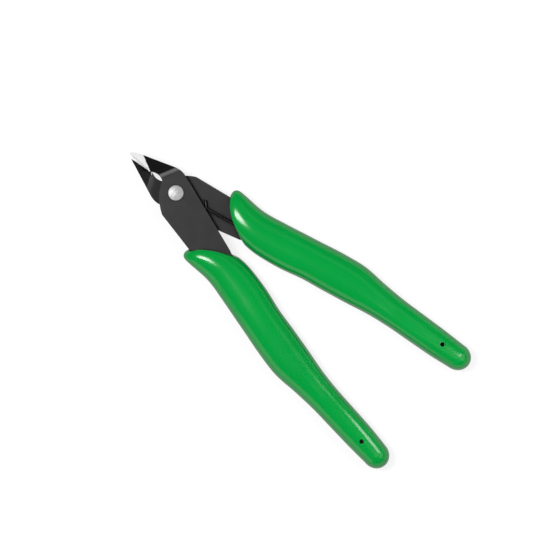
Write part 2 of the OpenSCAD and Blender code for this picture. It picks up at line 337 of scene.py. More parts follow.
class EdgeWear(Effect):
    """Rubbed finish on rounded edges, broken up by noise."""

    name = "edge_wear"
    inputs = {"Place": Kind.VECTOR, "Edge": Kind.FLOAT, "Amount": Kind.FLOAT}
    outputs = ("Worn",)
    patches: ClassVar[Noise] = Noise(420.0, 4.0, 0.65)
    patchy: ClassVar[Span] = (0.3, 0.75, 0.25, 1.0)

    def wire(self, wiring: Wiring, given: Any) -> Sequence[Socket]:
        """Multiplies the edge's mask by a patchy noise and the amount.

        Args:
            wiring: the group's wiring.
            given: the group's input sockets, by name.

        Returns:
            The worn edge's mask.
        """
        patch = wiring.span(wiring.noise(given["Place"], *self.patches), *self.patchy)
        rubbed = wiring.math("MULTIPLY", patch, given["Edge"])
        return (wiring.math("MULTIPLY", rubbed, given["Amount"]),)


class Crevice(Effect):
    """Painted shade in the corners where one piece meets another."""

    name = "crevice_painted_shade"
    inputs = {"Reach": Kind.FLOAT, "Amount": Kind.FLOAT}
    outputs = ("Painted shade",)
    samples: ClassVar[int] = 8
    closing: ClassVar[Span] = (0.6, 0.95, 1.0, 0.0)

    def wire(self, wiring: Wiring, given: Any) -> Sequence[Socket]:
        """Turns the openness around each point, within the reach, into a mask.

        Args:
            wiring: the group's wiring.
            given: the group's input sockets, by name.

        Returns:
            The painted shade's mask.
        """
        reach = {"Distance": given["Reach"]}
        around = wiring.add("ShaderNodeAmbientOcclusion", reach, samples=self.samples)
        closed = wiring.span(around.outputs["AO"], *self.closing)
        return (wiring.math("MULTIPLY", closed, given["Amount"]),)


class Fold(Effect):
    """Where a jaw is folded up from its plate: painted shade on the jaw, a painted highlight streak
    on the fold, a painted shadow on the neck below it.
    """

    name = "jaw_fold"
    levels: ClassVar[tuple[str, ...]] = ("Pivot", "Jaw from", "Jaw to", "Streak at", "Streak half")
    inputs = {"Place": Kind.VECTOR, "Across": Kind.VECTOR, **dict.fromkeys(levels, Kind.FLOAT)}
    outputs = ("Jaw", "Streak", "Neck shadow")
    neck_shadow: ClassVar[Pair] = (2.0, 4.0)
    neck_ends: ClassVar[float] = 1.25

    def wire(self, wiring: Wiring, given: Any) -> Sequence[Socket]:
        """Measures along the jaw, in millimetres from the pivot, and masks three bands.

        Args:
            wiring: the group's wiring.
            given: the group's input sockets, by name.

        Returns:
            The masks of the jaw, of the painted highlight streak on the fold and of the painted
            shadow on the neck.
        """
        along = wiring.vector("DOT_PRODUCT", given["Place"], given["Across"])["Value"]
        level = wiring.math("DIVIDE", wiring.math("SUBTRACT", along, given["Pivot"]), MM)
        jaw = wiring.span(level, given["Jaw from"], given["Jaw to"])
        middle, half = given["Streak at"], given["Streak half"]
        off_streak = wiring.math("ABSOLUTE", wiring.math("SUBTRACT", level, middle))
        highlight_streak = wiring.span(off_streak, 0.0, half, 1.0, 0.0)
        below = wiring.math("SUBTRACT", middle, wiring.math("MULTIPLY", half, self.neck_ends))
        above_neck = wiring.span(level, below, middle)
        neck_shadow = wiring.math("SUBTRACT", wiring.span(level, *self.neck_shadow), above_neck)
        return jaw, highlight_streak, neck_shadow


class GrindLines(Effect):
    """The fine straight lines that a grinding wheel leaves."""

    name = "grinding_lines"
    inputs = {"Place": Kind.VECTOR, "Turn": Kind.VECTOR}
    outputs = ("Lines",)
    lines: ClassVar[Noise] = Noise(9000.0, 3.0, 0.6)
    stretch: ClassVar[Point] = (1.0, 0.03, 1.0)

    def wire(self, wiring: Wiring, given: Any) -> Sequence[Socket]:
        """Turns the coordinates, draws them out and fills them with noise.

        Args:
            wiring: the group's wiring.
            given: the group's input sockets, by name.

        Returns:
            The lines' height.
        """
        ends = {"Vector": given["Place"], "Rotation": given["Turn"]}
        turned = wiring.add("ShaderNodeMapping", ends).outputs["Vector"]
        drawn = wiring.vector("MULTIPLY", turned, self.stretch)["Vector"]
        return (wiring.noise(drawn, *self.lines),)


GRAIN = Grain()
HANDLING = Handling()
EDGE_WEAR = EdgeWear()
CREVICE = Crevice()
FOLD = Fold()
GRIND_LINES = GrindLines()


class Surface:
    """A material under way: its wiring, its shader and the object's own coordinates."""

    def __init__(self, name: str) -> None:
        """Makes an empty material.

        Args:
            name: the material's name.
        """
        self.material = bpy.data.materials.new(name)
        self.material.use_nodes = True
        self.wiring = Wiring(self.material.node_tree)
        self.shader = self.material.node_tree.nodes["Principled BSDF"]
        coordinates = self.wiring.add("ShaderNodeTexCoord").outputs
        self.place, self.facing = coordinates["Object"], coordinates["Normal"]

    def set(self, **values: Any) -> None:
        """Sets or links the shader's inputs.

        Args:
            values: values or sockets, by the inputs' names with underscores for spaces.
        """
        names = {name.lower().replace(" ", "_"): name for name in self.shader.inputs.keys()}
        for key, value in values.items():
            self.wiring.feed(self.shader.inputs[names[key]], value)

    def effect(self, effect: Effect, **inputs: Any) -> Any:
        """Places a shared effect on the object's coordinates, and returns its outputs."""
        return self.wiring.group(effect, place=self.place, **inputs)

    def edge(self) -> Socket:
        """Returns the mask of the piece's rounded edges."""
        return self.wiring.add("ShaderNodeAttribute", attribute_name=EDGE_LAYER).outputs["Fac"]

    def roughen(self, rough: Any, *marks: tuple[Socket, float]) -> None:
        """Sets the roughness, and what marks add to it.

        Args:
            rough: the roughness where there is no mark.
            marks: masks, each with what it adds.
        """
        for mask, more in marks:
            rough = self.wiring.math("MULTIPLY_ADD", mask, more, rough)
        self.set(roughness=rough)

    def bump(self, height: Socket, distance: float, strength: float) -> None:
        """Raises the surface by a height; 1 stands for the distance, in millimetres."""
        inputs = {"Height": height, "Distance": distance * MM, "Strength": strength}
        self.set(normal=self.wiring.add("ShaderNodeBump", inputs).outputs["Normal"])


@dataclass(frozen=True)
class FoldTones:
    """Levels along a jaw, in millimetres from the pivot, and the grey tones painted around its
    fold: shade on the jaw, a highlight on the fold and a shadow on the neck.
    """

    jaw_from: float
    jaw_to: float
    streak_at: float
    streak_half: float
    jaw: float
    painted_highlight: float
    neck_shadow: float


@dataclass(frozen=True)
class Blackened:
    """Black oxide on steel: charcoal plates and rubbed edges, with painted shade on the folded jaw,
    a painted highlight on the fold, a painted shadow on the neck and painted shade in corners.
    """

    name: str
    fold_across: Pair
    fold: FoldTones
    plate: Colour = (0.0235, 0.0222, 0.0226)
    rubbed: Colour = grey(0.12)
    painted_shade: Colour = grey(0.004)
    plate_metal: float = 0.3
    jaw_metal: float = 0.6
    specular: float = 0.2
    rough: float = 0.36
    smudge_rough: float = 0.08
    worn_rough: float = -0.1
    wear: float = 0.5
    painted_shade_reach: float = 1.6
    painted_shade_amount: float = 0.85
    grains: float = 5200.0
    mottles: float = 240.0
    mottling: Span = (0.3, 0.7, 0.0, 0.16)
    relief: Pair = (0.006, 0.6)

    def material(self) -> Material:
        """Wires the finish.

        Returns:
            Its material.
        """
        surface = Surface(self.name)
        wiring = surface.wiring
        grain = surface.effect(GRAIN, grains=self.grains, mottles=self.mottles)
        marks = surface.effect(HANDLING)
        worn = surface.effect(EDGE_WEAR, edge=surface.edge(), amount=self.wear)["Worn"]
        fold = surface.effect(
            FOLD,
            across=(*self.fold_across, 0.0),
            pivot=PIVOT.xy.dot(Vector(self.fold_across)),
            jaw_from=self.fold.jaw_from,
            jaw_to=self.fold.jaw_to,
            streak_at=self.fold.streak_at,
            streak_half=self.fold.streak_half,
        )
        # Painted shade in the corners where the pieces meet, darker where the surround is closed.
        reach = self.painted_shade_reach * MM
        painted_shade = wiring.group(CREVICE, reach=reach, amount=self.painted_shade_amount)["Painted shade"]
        # Painted shadow on the neck, painted highlight streak on the fold and painted shade on the
        # jaw.
        tone = wiring.mix(fold["Neck shadow"], self.plate, grey(self.fold.neck_shadow))
        tone = wiring.mix(fold["Streak"], tone, grey(self.fold.painted_highlight))
        tone = wiring.mix(fold["Jaw"], tone, grey(self.fold.jaw))
        tone = wiring.mix(wiring.span(grain["Mottle"], *self.mottling), tone, BLACK)
        tone = wiring.mix(painted_shade, wiring.mix(worn, tone, self.rubbed), self.painted_shade)
        metal = wiring.span(fold["Jaw"], 0.0, 1.0, self.plate_metal, self.jaw_metal)
        surface.set(base_color=tone, specular_ior_level=self.specular, metallic=metal)
        smudges = (marks["Smudge"], self.smudge_rough)
        surface.roughen(self.rough, smudges, (worn, self.worn_rough))
        surface.bump(grain["Height"], *self.relief)
        return surface.material


@dataclass(frozen=True)
class Ground:
    """Bright steel with the fine lines of the grinding wheel."""

    name: str
    line_turn: float
    metal: float
    colour: Colour = grey(0.9)
    shaded: Colour = grey(0.76)
    shading: Span = (0.3, 0.7, 0.0, 0.3)
    rough: float = 0.32
    line_rough: float = 0.16
    smudge_rough: float = 0.06
    relief: Pair = (0.004, 0.5)

    def material(self) -> Material:
        """Wires the finish.

        Returns:
            Its material.
        """
        surface = Surface(self.name)
        wiring = surface.wiring
        turn = (0.0, 0.0, math.radians(self.line_turn))
        lines = surface.effect(GRIND_LINES, turn=turn)["Lines"]
        marks = surface.effect(HANDLING)
        tone = wiring.mix(wiring.span(lines, *self.shading), self.colour, self.shaded)
        surface.set(base_color=tone, metallic=self.metal)
        smudges = (marks["Smudge"], self.smudge_rough)
        surface.roughen(self.rough, (lines, self.line_rough), smudges)
        surface.bump(lines, *self.relief)
        return surface.material


@dataclass(frozen=True)
class Peened:
    """Bare rivet steel, brushed and a little dented where the head was formed, with painted shade
    on the head's rounded rim.
    """

    name: str
    colour: Colour = grey(0.5)
    shaded: Colour = (0.25, 0.25, 0.255)
    shading: Span = (0.3, 0.72, 0.0, 0.5)
    metal: float = 0.5
    rough: float = 0.48
    scratch_rough: float = 0.15
    grains: float = 7000.0
    dents: float = 1500.0
    dent_depth: float = 3.0
    relief: Pair = (0.006, 0.7)

    def material(self) -> Material:
        """Wires the finish.

        Returns:
            Its material.
        """
        surface = Surface(self.name)
        wiring = surface.wiring
        grain = surface.effect(GRAIN, grains=self.grains, mottles=self.dents)
        marks = surface.effect(HANDLING)
        shade = wiring.span(grain["Mottle"], *self.shading)
        tone = wiring.mix(shade, self.colour, self.shaded)
        # Painted shade: the head's rounded rim takes the darker tone.
        tone = wiring.mix(surface.edge(), tone, self.shaded)
        surface.set(base_color=tone, metallic=self.metal)
        surface.roughen(self.rough, (marks["Scratch"], self.scratch_rough))
        dented = wiring.math("MULTIPLY_ADD", grain["Mottle"], self.dent_depth, grain["Height"])
        surface.bump(dented, *self.relief)
        return surface.material


@dataclass(frozen=True)
class Drawn:
    """Dark spring wire, mottled and a little rubbed."""

    name: str
    colour: Colour = (0.022, 0.0215, 0.022)
    rubbed: Colour = grey(0.06)
    rubbing: Span = (0.4, 0.75, 0.0, 0.35)
    metal: float = 1.0
    rough: float = 0.36
    scratch_rough: float = 0.12
    grains: float = 6000.0
    mottles: float = 700.0
    relief: Pair = (0.003, 0.5)

    def material(self) -> Material:
        """Wires the finish.

        Returns:
            Its material.
        """
        surface = Surface(self.name)
        wiring = surface.wiring
        grain = surface.effect(GRAIN, grains=self.grains, mottles=self.mottles)
        marks = surface.effect(HANDLING)
        rub = wiring.span(grain["Mottle"], *self.rubbing)
        surface.set(base_color=wiring.mix(rub, self.colour, self.rubbed), metallic=self.metal)
        surface.roughen(self.rough, (marks["Scratch"], self.scratch_rough))
        surface.bump(grain["Height"], *self.relief)
        return surface.material


@dataclass(frozen=True)
class Vinyl:
    """Glossy moulded vinyl with a faint orange peel and smudges, with painted shade on its flanks
    and in the corners where it meets the plates.
    """

    name: str
    colour: Colour = (0.0, 0.338, 0.049)
    deep: Colour = (0.0, 0.31, 0.045)
    mottling: Span = (0.3, 0.7, 0.0, 0.5)
    painted_flank_shade: Colour = (0.0, 0.2, 0.036)
    painted_flank_shade_slopes: Pair = (0.1, 0.8)
    painted_shade: Colour = (0.0, 0.06, 0.02)
    painted_shade_reach: float = 0.8
    painted_shade_amount: float = 0.8
    specular: float = 0.42
    rough: float = 0.15
    dull_rough: float = 0.3
    dull_slopes: Pair = (0.45, 0.95)
    mark_rough: float = 0.03
    peel: float = 420.0
    mottles: float = 70.0
    relief: Pair = (0.004, 0.1)

    def material(self) -> Material:
        """Wires the finish.

        Returns:
            Its material.
        """
        surface = Surface(self.name)
        wiring = surface.wiring
        grain = surface.effect(GRAIN, grains=self.peel, mottles=self.mottles)
        marks = surface.effect(HANDLING)
        tone = wiring.mix(wiring.span(grain["Mottle"], *self.mottling), self.colour, self.deep)
        upright = wiring.add("ShaderNodeSeparateXYZ", {"Vector": surface.facing}).outputs["Z"]
        slope = wiring.math("SUBTRACT", 1.0, wiring.math("ABSOLUTE", upright))
        # Painted shade on the flanks, darker the more the surface turns from upright.
        tone = wiring.mix(wiring.span(slope, *self.painted_flank_shade_slopes), tone, self.painted_flank_shade)
        # Painted shade in the corners where the grip meets the plates.
        reach = self.painted_shade_reach * MM
        painted_shade = wiring.group(CREVICE, reach=reach, amount=self.painted_shade_amount)["Painted shade"]
        tone = wiring.mix(painted_shade, tone, self.painted_shade)
        surface.set(base_color=tone, specular_ior_level=self.specular)
        rough = wiring.span(slope, *self.dull_slopes, self.rough, self.dull_rough)
        surface.roughen(rough, *((marks[name], self.mark_rough) for name in HANDLING.outputs))
        surface.bump(grain["Height"], *self.relief)
        return surface.material


def new_piece(name: str, form: Form, materials: Iterable[Material]) -> Piece:
    """Makes a smooth object from a bmesh, and frees the bmesh.

    Args:
        name: the object's name.
        form: its geometry, in the row frame.
        materials: its material slots, in order.

    Returns:
        The object, linked to the scene.
    """
    mesh = bpy.data.meshes.new(name)
    for face in form.faces:
        face.smooth = True
    form.to_mesh(mesh)
    form.free()
    piece = bpy.data.objects.new(name, mesh)
    for material in materials:
        mesh.materials.append(material)
    bpy.context.scene.collection.objects.link(piece)
    return piece


def skin(rings: Sequence[Sequence[Vector]], start: Vector, end: Vector) -> Form:
    """Closes a skin over rings of points, with a point at each end.

    Args:
        rings: rings that have the same number of points.
        start: the point that closes the first ring.
        end: the point that closes the last ring.

    Returns:
        The skin, with its faces turned outwards.
    """
    form = bmesh.new()
    loops = [[form.verts.new(point) for point in ring] for ring in rings]
    sides = len(rings[0])
    for low, high in zip(loops, loops[1:]):
        for k in range(sides):
            form.faces.new((low[k], high[k], high[(k + 1) % sides], low[(k + 1) % sides]))
    for loop, point in ((loops[0], start), (loops[-1], end)):
        tip = form.verts.new(point)
        for k in range(sides):
            form.faces.new((tip, loop[k], loop[(k + 1) % sides]))
    bmesh.ops.recalc_face_normals(form, faces=form.faces)
    return form


def welded(node: str) -> Form:
    """Copies a CAD node's mesh, with its corners joined and its flat faces whole.

    Args:
        node: the node's name.

    Returns:
        The copy.
    """
    form = bmesh.new()
    form.from_mesh(frame["nodes"][node].data)
    bmesh.ops.remove_doubles(form, verts=form.verts, dist=WELD_REACH * MM)
    flat = math.radians(FLAT_ANGLE)
    bmesh.ops.dissolve_limit(form, angle_limit=flat, verts=form.verts, edges=form.edges)
    form.normal_update()
    return form


def carve(piece: Piece, cutters: Sequence[Piece]) -> None:
    """Cuts other objects out of a piece, and removes them.

    Args:
        piece: the piece to cut.
        cutters: closed objects.
    """
    for cutter in cutters:
        cut = piece.modifiers.new(cutter.name, "BOOLEAN")
        cut.operation = "DIFFERENCE"
        cut.solver = "EXACT"
        cut.object = cutter
    graph = bpy.context.evaluated_depsgraph_get()
    mesh = bpy.data.meshes.new_from_object(piece.evaluated_get(graph))
    piece.modifiers.clear()
    piece.data = mesh
    for cutter in cutters:
        bpy.data.objects.remove(cutter)


def even_shading(piece: Piece) -> None:
    """Lets a piece's large faces set its shading."""
    even = piece.modifiers.new("even_shading", "WEIGHTED_NORMAL")
    even.keep_sharp = True


class GroundFace(NamedTuple):
    """How a ground face lies on a folded jaw: its drop, its slant, and 1 on top or -1 below."""

    drop: float
    slant: float
    face: int


@dataclass
class Lever:
    """One stamped plate: its edges are rounded, and its ground faces are bright."""

    side: Side
    fold_angle: float
    fold: FoldTones
    ground: tuple[GroundFace, ...]
    ground_metal: float
    fold_skew: float = 25.5
    edge_round: float = 0.3
    edge_steps: int = 3
    edge_profile: float = 0.5
    sharp_angle: float = 32.0
    cut_from: float = 10.6
    cut_half: float = 0.75
    hidden_from: float = -34.0
    ground_slack: float = 1.2
    piece: Piece | None = field(default=None, init=False)

    def ground_normals(self) -> list[Vector]:
        """Turns the ground faces from the flat plate to the folded jaw.

        Returns:
            Their outward normals.
        """
        turn = Matrix.Rotation(math.radians(self.fold_skew), 3, "Z")
        fold = Matrix.Rotation(math.radians(self.fold_angle), 3, "X")
        normals = []
        for drop, slant, face in self.ground:
            steep = math.radians(drop)
            level = Vector((math.sin(steep), 0.0, face * math.cos(steep)))
            normal = turn @ fold @ Matrix.Rotation(math.radians(slant), 3, "Z") @ level
            normals.append(Vector((self.side.mirror * normal.x, normal.y, normal.z)))
        return normals

    def is_ground(self, face: bmesh.types.BMFace) -> bool:
        """Tells the faces that the grinding wheel left.

        Args:
            face: a face of the CAD plate.

        Returns:
            Whether it was ground.
        """
        at = (face.calc_center_median() - PIVOT) / MM
        if at.y < self.cut_from:
            return False
        slack = math.cos(math.radians(self.ground_slack))
        flush = abs(face.normal.x) > slack and abs(at.x) < self.cut_half
        return flush or any(face.normal.dot(normal) > slack for normal in self.ground_normals())

    def is_rounded(self, edge: bmesh.types.BMEdge) -> bool:
        """Tells the edges to round: sharp, in view and not a cutting edge.

        Args:
            edge: an edge of the CAD plate.

        Returns:
            Whether it is rounded.
        """
        sharp = math.radians(self.sharp_angle)
        if len(edge.link_faces) != 2 or edge.calc_face_angle(0.0) < sharp:
            return False
        if any(face.material_index for face in edge.link_faces):
            return False
        ends = [(vert.co - PIVOT) / MM for vert in edge.verts]
        if min(end.y for end in ends) < self.hidden_from:
            return False
        return not all(end.y > self.cut_from and abs(end.x) < self.cut_half for end in ends)

    def build(self) -> None:
        """Copies the CAD plate, marks its ground faces and rounds its edges."""
        form = welded(self.side.lever)
        for face in form.faces:
            face.material_index = int(self.is_ground(face))
        layer = form.faces.layers.float.new(EDGE_LAYER)
        made = bmesh.ops.bevel(
            form,
            geom=[edge for edge in form.edges if self.is_rounded(edge)],
            offset=self.edge_round * MM,
            offset_type="OFFSET",
            segments=self.edge_steps,
            profile=self.edge_profile,
            affect="EDGES",
            clamp_overlap=True,
            material=-1,
        )
        for face in made["faces"]:
            face[layer] = 1.0
        for edge in form.edges:
            edge.smooth = edge.calc_face_angle(0.0) < math.radians(self.sharp_angle)
        turn = math.radians(self.fold_skew)
        across = (-self.side.mirror * math.sin(turn), math.cos(turn))
        black = Blackened(f"black_oxide_{self.side.value}", across, self.fold)
        lines = self.side.mirror * self.fold_skew
        bright = Ground(f"ground_steel_{self.side.value}", lines, self.ground_metal)
        materials = (black.material(), bright.material())
        self.piece = new_piece(f"{self.side.value}_plate", form, materials)

    def dress(self) -> None:
        """Evens the shading and sets the plate on its body."""
        even_shading(self.piece)
        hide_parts(self.side.lever)
        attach(self.piece, self.side.body)


@dataclass
class Rivet:
    """The solid rivet, turned as one profile with a formed head at each end."""

    shank_d: float = 3.0
    head_d: float = 5.1
    head_h: float = 0.85
    crown: float = 0.4
    rim_round: float = 0.14
    rim_turn: float = 80.0
    rim_shaded: float = 0.6
    front_face: float = 2.55
    rear_face: float = -2.6
    sides: int = 96
    crown_steps: int = 12
    rim_steps: int = 4
    piece: Piece | None = field(default=None, init=False)

    def head(self) -> list[Pair]:
        """Draws one head's profile, from under the rim to the middle.

        Returns:
            Its points, as radius and height.
        """
        half = self.head_d / 2
        wall = self.head_h - self.crown
        crown_r = (half**2 + self.crown**2) / (2 * self.crown)
        rim = self.rim_round
        profile = [(self.shank_d / 2, 0.0), (half - rim / 2, 0.0), (half, rim / 2)]
        for i in range(self.rim_steps + 1):
            a = math.radians(self.rim_turn * i / self.rim_steps)
            profile.append((half - rim * (1 - math.cos(a)), wall - rim / 2 + rim * math.sin(a)))
        start = profile[-1][0]
        for i in range(1, self.crown_steps):
            r = start * (1 - i / self.crown_steps)
            profile.append((r, self.head_h - crown_r + math.sqrt(crown_r**2 - r**2)))
        return profile

    def build(self) -> None:
        """Turns the profile of both heads and the shank."""
        head = self.head()
        rear = [(r, self.rear_face - z) for r, z in reversed(head)]
        front = [(r, self.front_face + z) for r, z in head]
        turns = circle(self.sides)
        rings = [[place(r * way.x, r * way.y, z) for way in turns] for r, z in rear + front]
        top = place(0, 0, self.front_face + self.head_h)
        form = skin(rings, place(0, 0, self.rear_face - self.head_h), top)
        # Marks the faces of the head's rim, which the finish paints with shade.
        layer = form.faces.layers.float.new(EDGE_LAYER)
        for face in form.faces:
            reach = (face.calc_center_median() - PIVOT).xy.length / MM
            face[layer] = float(reach > self.head_d / 2 - self.rim_round * self.rim_shaded)
        self.piece = new_piece("rivet", form, (Peened("rivet_steel_peened").material(),))

    def dress(self) -> None:
        """Sets the rivet on the front half, which holds it."""
        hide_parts("pivot_rivet")
        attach(self.piece, Side.FRONT.body)


@dataclass
class ReturnSpring:
    """The bent wire, rooted in the rear grip, that presses on the front lever's inner edge."""

    wire_d: float = 1.0
    bend_r: float = 1.3
    touch: float = 10.8
    run: float = 20.0
    free: float = 2.0
    lean: float = 12.4
    free_lean: float = 40.7
    gap: float = 0.05
    plate_level: float = -0.05
    edge_top: Pair = (6.6, 2.15)
    edge_bottom: Pair = (-2.2, -25.6)
    mouth_share: float = 0.6
    end_dome: float = 0.3
    run_steps: int = 16
    bend_steps: int = 20
    sides: int = 20
    end_steps: int = 5
    piece: Piece | None = field(default=None, init=False)

    def bend(self, share: float) -> Vector:
        """Follows the middle line of the bend, round its touch on the lever's edge.

        Args:
            share: 0 at the run, 1 at the free end.

        Returns:
            The point.
        """
        top, bottom = Vector(self.edge_top), Vector(self.edge_bottom)
        down = (top.y + self.touch) / (top.y - bottom.y)
        lean = math.degrees(math.atan2(top.x - bottom.x, top.y - bottom.y))
        middle = top.lerp(bottom, down) + (self.bend_r + self.wire_d / 2 + self.gap) * unit(-lean)
        return middle + self.bend_r * unit(180 + self.lean - (self.lean + self.free_lean) * share)

    def root(self) -> Vector:
        """Returns the end of the wire inside the grip."""
        return self.bend(0) + self.run * unit(self.lean - 90)

    def path(self) -> list[Vector]:
        """Draws the wire's middle line, from its root to its free end.

        Returns:
            Its points.
        """
        root, tip = self.root(), self.bend(1) + self.free * unit(90 - self.free_lean)
        run = [root.lerp(self.bend(0), i / self.run_steps) for i in range(self.run_steps)]
        bend = [self.bend(i / self.bend_steps) for i in range(self.bend_steps + 1)]
        return run + bend + [self.bend(1).lerp(tip, 0.5), tip]

    def tube(self, d: float) -> Form:
        """Sweeps the wire with rounded ends.

        Args:
            d: its diameter.

        Returns:
            The closed tube.
        """
        level = self.plate_level + self.gap + self.wire_d / 2
        path = self.path()
        along = [(b - a).normalized() for a, b in zip([path[0], *path], [*path[1:], path[-1]])]
        along[0], along[-1] = (path[1] - path[0]).normalized(), (path[-1] - path[-2]).normalized()
        stations = [(point, way, 1.0) for point, way in zip(path, along)]
        for i in range(1, self.end_steps):
            a = math.radians(90 * i / self.end_steps)
            back = self.end_dome * d * math.sin(a)
            stations.insert(0, (path[0] - back * along[0], along[0], math.cos(a)))
            stations.append((path[-1] + back * along[-1], along[-1], math.cos(a)))
        rings = []
        for point, way, share in stations:
            across = Vector((-way.y, way.x))
            ring = []
            for turn in circle(self.sides):
                round_at = d / 2 * share * turn
                flat = point + round_at.x * across
                ring.append(place(flat.x, flat.y, level + round_at.y))
            rings.append(ring)
        dome = self.end_dome * d
        ends = [path[0] - dome * along[0], path[-1] + dome * along[-1]]
        return skin(rings, *(place(end.x, end.y, level) for end in ends))

    def build(self) -> None:
        """Sweeps the wire."""
        wire = Drawn("spring_wire_drawn").material()
        self.piece = new_piece("spring_wire", self.tube(self.wire_d), (wire,))

    def dress(self) -> None:
        """Hides the CAD wire and bakes the wire's placement into its mesh; the wire is set on no
        body.
        """
        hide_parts("return_spring")
        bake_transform(self.piece)


class GripSection(NamedTuple):
    """One row of the grip's table: shares of its length, sideways run and flare, and sizes."""

    share: float
    side: float
    width: float
    slant: float
    thick: float
    flare: float


@dataclass
class Grip:
    """One moulded grip, swept through its sections, with the tang, wire and pin hole let in."""

    side: Side
    slip: float
    vinyl: Vinyl
    spring: ReturnSpring | None = None
    mouth_mid: Pair = (7.95, -20.2)
    tail_mid: Pair = (21.2, -106.2)
    tail_dome: float = 4.8
    tail_slant: float = 10.0
    mouth_bow: float = 1.5
    mouth_rake: float = 0.45
    horn: float = 3.15
    horn_power: float = 2.9
    horn_draw: float = 5.0
    horn_reach: float = 4.2
    horn_blunt: float = 0.75
    heel_r: float = 3.0
    bulge_skew: float = 0.2
    bulge_reach: float = 0.3
    outer_flare: float = 1.7
    lip_drop: float = 1.5
    lip_reach: float = 8.0
    square: float = 0.95
    fit: float = 0.05
    pin_hole_d: float = 1.5
    pin_inset: float = 11.3
    pin_aside: float = 0.9
    flat_blend: float = 0.25
    sharp_angle: float = 50.0
    sides: int = 144
    pin_sides: int = 64
    lip_steps: int = 28
    body_steps: int = 180
    tail_steps: int = 18
    cap_steps: int = 4
    piece: Piece | None = field(default=None, init=False)

    SECTIONS: ClassVar[tuple[GripSection, ...]] = (
        GripSection(0.0, 0.03, 17.3, 45, 9.2, 0.0),
        GripSection(0.06, 0.035, 17.2, 43.3, 9.2, 0.0),
        GripSection(0.13, 0.054, 15.1, 38, 9.36, 0.1),
        GripSection(0.21, 0.15, 14.2, 33, 9.6, 0.4),
        GripSection(0.32, 0.35, 13.4, 20, 10.0, 0.3),
        GripSection(0.43, 0.52, 13.6, 11, 10.0, 0.3),
        GripSection(0.52, 0.64, 13.2, 10, 10.0, 0.3),
        GripSection(0.62, 0.70, 10.584, 10, 9.68, 0.6),
        GripSection(0.71, 0.74, 8.9, 9, 9.2, 0.9),
        GripSection(0.81, 0.80, 8.4, 9, 9.2, 1.0),
        GripSection(0.91, 0.90, 8.9, 9, 9.2, 0.5),
        GripSection(1.0, 1.0, 8.9, 10, 9.2, 0.0),
    )

    def slope(self, column: str, row: int) -> float:
        """Measures how a column of the table climbs at a row.

        Args:
            column: the column's name.
            row: the row's number.

        Returns:
            The climb for the whole length.
        """
        rows = self.SECTIONS
        a, b = rows[max(row - 1, 0)], rows[min(row + 1, len(rows) - 1)]
        return (getattr(b, column) - getattr(a, column)) / (b.share - a.share)

    def curve(self, column: str, share: float) -> float:
        """Follows a column of the table, on a smooth curve through its rows.

        Args:
            column: the column's name.
            share: the share of the length.

        Returns:
            The column's value there.
        """
        rows = self.SECTIONS
        i = max(k for k in range(len(rows) - 1) if rows[k].share <= share)
        p, q = rows[i], rows[i + 1]
        span = q.share - p.share
        t = (share - p.share) / span
        value = (2 * t**3 - 3 * t**2 + 1) * getattr(p, column)
        value += (3 * t**2 - 2 * t**3) * getattr(q, column)
        bend = (t**3 - 2 * t**2 + t) * self.slope(column, i)
        return value + span * (bend + (t**3 - t**2) * self.slope(column, i + 1))

    def middle(self, share: float) -> Vector:
        """Returns the grip's middle at a share of its length."""
        x = lerp(self.mouth_mid[0], self.tail_mid[0], self.curve("side", share))
        return Vector((x, lerp(self.mouth_mid[1], self.tail_mid[1], share)))

    def across(self, share: float) -> Vector:
        """Returns the direction across the grip at a share of its length."""
        return unit(self.curve("slant", share))

    @property
    def length(self) -> float:
        """Distance from the mouth's middle to the tail's."""
        return (Vector(self.tail_mid) - Vector(self.mouth_mid)).length

    def settle(self, x: float, y: float, z: float) -> Vector:
        """Moves a point of the rear grip's form to this grip, flattened where the tool lies.

        Args:
            x: across the tool.
            y: along the tool.
            z: along the pivot.

        Returns:
            The point in the row frame.
        """
        point = place(self.side.mirror * x, y - self.slip, self.side.mirror * z)
        height = point.z / MM
        point.z = MM * (height + math.hypot(height, self.flat_blend)) / 2
        return point

    def section(
        self,
        middle: Vector,
        across: Vector,
        half_w: float,
        half_t: float,
        flare: float,
        fade: float,
    ) -> list[Vector]:
        """Draws one ring of the grip.

        Args:
            middle: its middle.
            across: its direction across.
            half_w: half its width.
            half_t: half its thickness.
            flare: how much further its outer side reaches.
            fade: how much of the mouth's shape is left.

        Returns:
            The ring's points, in the row frame.
        """
        ring = []
        for turn in circle(self.sides):
            u, v = (signed_power(value, self.square) for value in turn)
            bow = self.mouth_bow * (1 - u**2) * (1 + self.bulge_skew * u) + self.mouth_rake * v
            guard = self.horn * ((1 + u) / 2) ** self.horn_power
            reach = u * (half_w + flare if u > 0 else half_w)
            lead = Vector((-bow * across.y, bow * across.x + guard))
            flat = middle + reach * across + fade * lead
            ring.append(self.settle(flat.x, flat.y, half_t * v))
        return ring

    def drawn_in(self, share: float, depth: float, reach: float, bluntness: float = 0.5) -> float:
        """Returns how far a rounded edge of the mouth, so deep and so long, draws in a section."""
        left = max(0.0, 1 - share * self.length / reach)
        return depth * (1 - (1 - left**2) ** bluntness)

    def body_ring(self, share: float) -> list[Vector]:
        """Draws a ring of the body, drawn in where the mouth is rounded.

        Args:
            share: its share of the length.

        Returns:
            The ring's points, in the row frame.
        """
        across = self.across(share)
        outer = self.drawn_in(share, self.horn_draw, self.horn_reach, self.horn_blunt)
        inner = self.drawn_in(share, self.heel_r, self.heel_r)
        middle = self.middle(share) + (inner - outer) / 2 * across
        half_w = (self.curve("width", share) - inner - outer) / 2
        lip = self.drawn_in(share, self.lip_drop, self.lip_reach)
        half_t = self.curve("thick", share) / 2 - lip
        flare = self.outer_flare * self.curve("flare", share)
        fade = max(0.0, 1 - share / self.bulge_reach) ** 2
        return self.section(middle, across, half_w, half_t, flare, fade)

